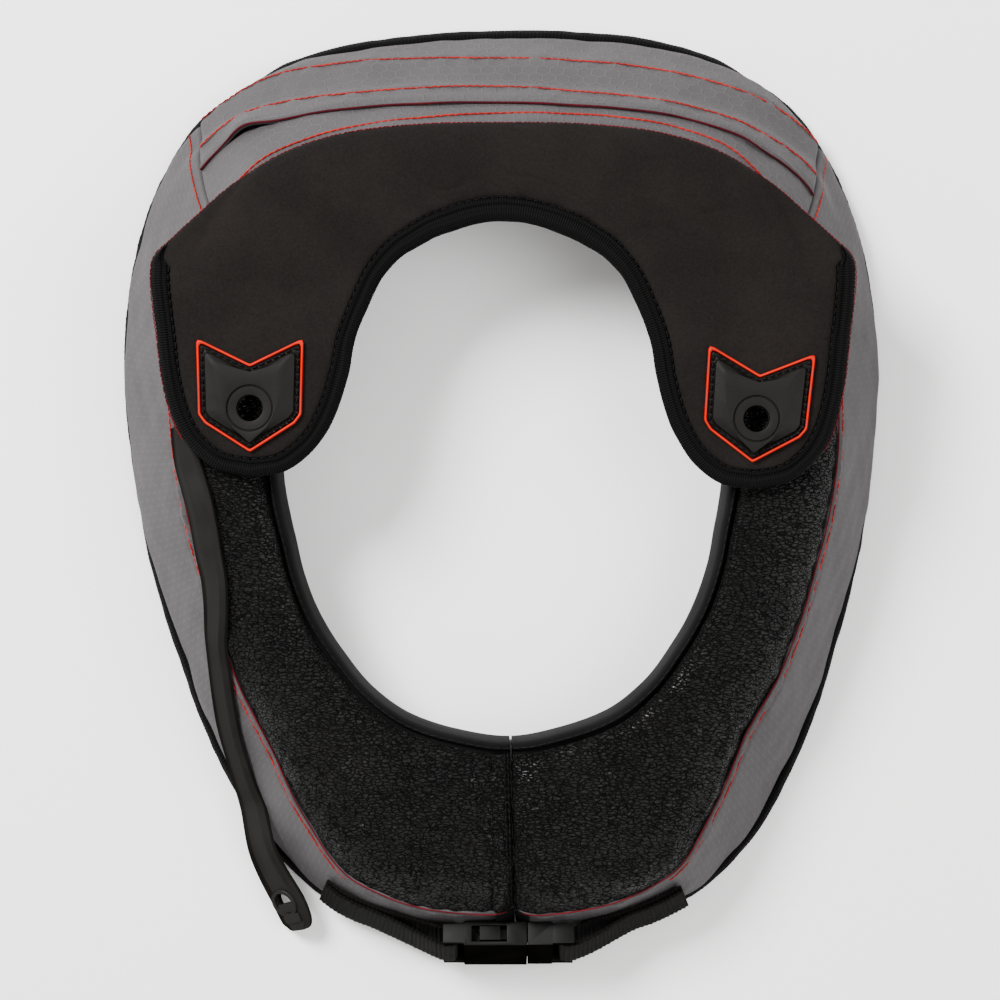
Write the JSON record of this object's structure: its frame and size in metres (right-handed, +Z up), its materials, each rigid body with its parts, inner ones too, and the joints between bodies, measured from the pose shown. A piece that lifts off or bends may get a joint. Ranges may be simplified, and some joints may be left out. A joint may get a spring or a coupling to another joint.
{
  "type": "motocross neck brace",
  "caption": "Foam race collar open at the front under a side-release buckle, with a flared cloth wall, grained top, bound neoprene yoke with tabs, and a rubber tether.",
  "frame": {"origin": "middle of the bounding box at the level of the flat base", "axes": "+Z up through the neck opening, +Y towards the high back, -Y towards the buckle, +X towards the wearer's left"},
  "size_m": [0.2861, 0.354, 0.0641],
  "materials": {
    "black_cloth": "smooth black lining cloth",
    "leatherette": "pebble-grained black leatherette, satin",
    "edge_tape": "black woven edge tape",
    "grey_ripstop": "grey ripstop cloth, hexagon and dash weave, crimson thread",
    "neoprene": "dark brown brushed neoprene",
    "ribbed_binding": "black ribbed binding",
    "patch_rubber": "moulded dark grey rubber, bare",
    "patch_rim": "orange-red edge line",
    "strap_rubber": "matte dark grey moulded rubber",
    "webbing": "black woven webbing",
    "buckle_plastic": "black moulded plastic"
  },
  "bodies": {
    "root": {"collar_body": "black_cloth", "leather_top": "leatherette", "base_tape": "edge_tape", "side_wall_left": "grey_ripstop", "side_wall_right": "grey_ripstop", "back_wall": "grey_ripstop", "back_pocket_panel": "grey_ripstop", "yoke_panel": "neoprene", "yoke_binding": "ribbed_binding", "patch_left": "patch_rubber", "patch_rim_left": "patch_rim", "patch_right": "patch_rubber", "patch_rim_right": "patch_rim", "tether_strap": "strap_rubber", "webbing_left": "webbing", "webbing_right": "webbing", "buckle_socket": "buckle_plastic", "buckle_plug": "buckle_plastic"}
  },
  "joints": []
}
